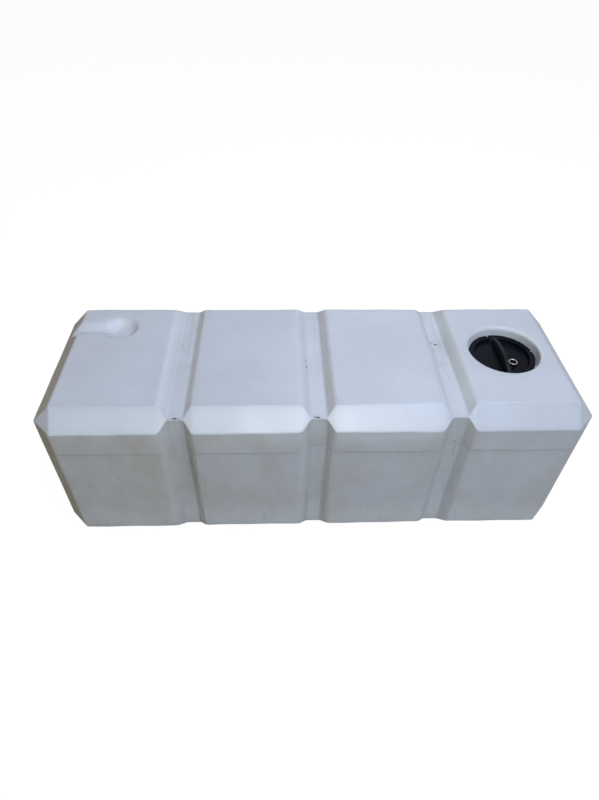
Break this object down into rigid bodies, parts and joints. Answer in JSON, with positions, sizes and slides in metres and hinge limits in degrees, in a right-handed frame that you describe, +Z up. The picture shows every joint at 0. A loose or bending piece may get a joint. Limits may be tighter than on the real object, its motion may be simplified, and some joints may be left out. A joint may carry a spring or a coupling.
{
  "type": "water tank",
  "caption": "Long low moulded water tank with strap grooves right round it, a vented screw lid sunk in a well, a hose recess and a plugged brass outlet.",
  "frame": {"origin": "under the middle of the base, on the plane that the tank stands on", "axes": "+X along the tank towards the lid, +Y towards the back, +Z up"},
  "size_m": [1.52, 0.54, 0.532],
  "materials": {
    "natural_polyethylene": "satin, slightly see-through, scuffed",
    "black_polypropylene": "soft sheen",
    "black_rubber": "matt",
    "bright_nickel": "plated, slightly dulled",
    "steel_gauze": "woven wire",
    "brass": "machined, dulled"
  },
  "bodies": {
    "tank": {"tank_body": "natural_polyethylene", "outlet_insert": "brass"},
    "lid_seal_ring": {"lid_seal": "black_rubber"},
    "lid_assembly": {"lid": "black_polypropylene", "breather_bush": "bright_nickel", "breather_washer": "black_rubber", "breather_gauze": "steel_gauze", "breather_nut": "black_polypropylene"},
    "plug_washer_ring": {"plug_washer": "black_rubber"},
    "plug": {"outlet_plug": "black_polypropylene"}
  },
  "joints": [
    {"name": "lid_lift", "type": "slide", "parent": "tank", "child": "lid_seal_ring", "axis": [0, 0, 1], "range_m": [0, 0.015]},
    {"name": "lid_turn", "type": "hinge", "parent": "lid_seal_ring", "child": "lid_assembly", "pos_m": [0.565, 0.013, 0.5075], "axis": [0, 0, 1], "range_deg": [0, 900]},
    {"name": "plug_draw", "type": "slide", "parent": "tank", "child": "plug_washer_ring", "axis": [-1, 0, 0], "range_m": [0, 0.01155]},
    {"name": "plug_turn", "type": "hinge", "parent": "plug_washer_ring", "child": "plug", "pos_m": [-0.74, 0, 0.118], "axis": [-1, 0, 0], "range_deg": [0, 1800]}
  ],
  "couplings": [
    {"joint": "lid_lift", "follows": "lid_turn", "m_per_rad": 0.000954},
    {"joint": "plug_draw", "follows": "plug_turn", "m_per_rad": 0.000367}
  ]
}
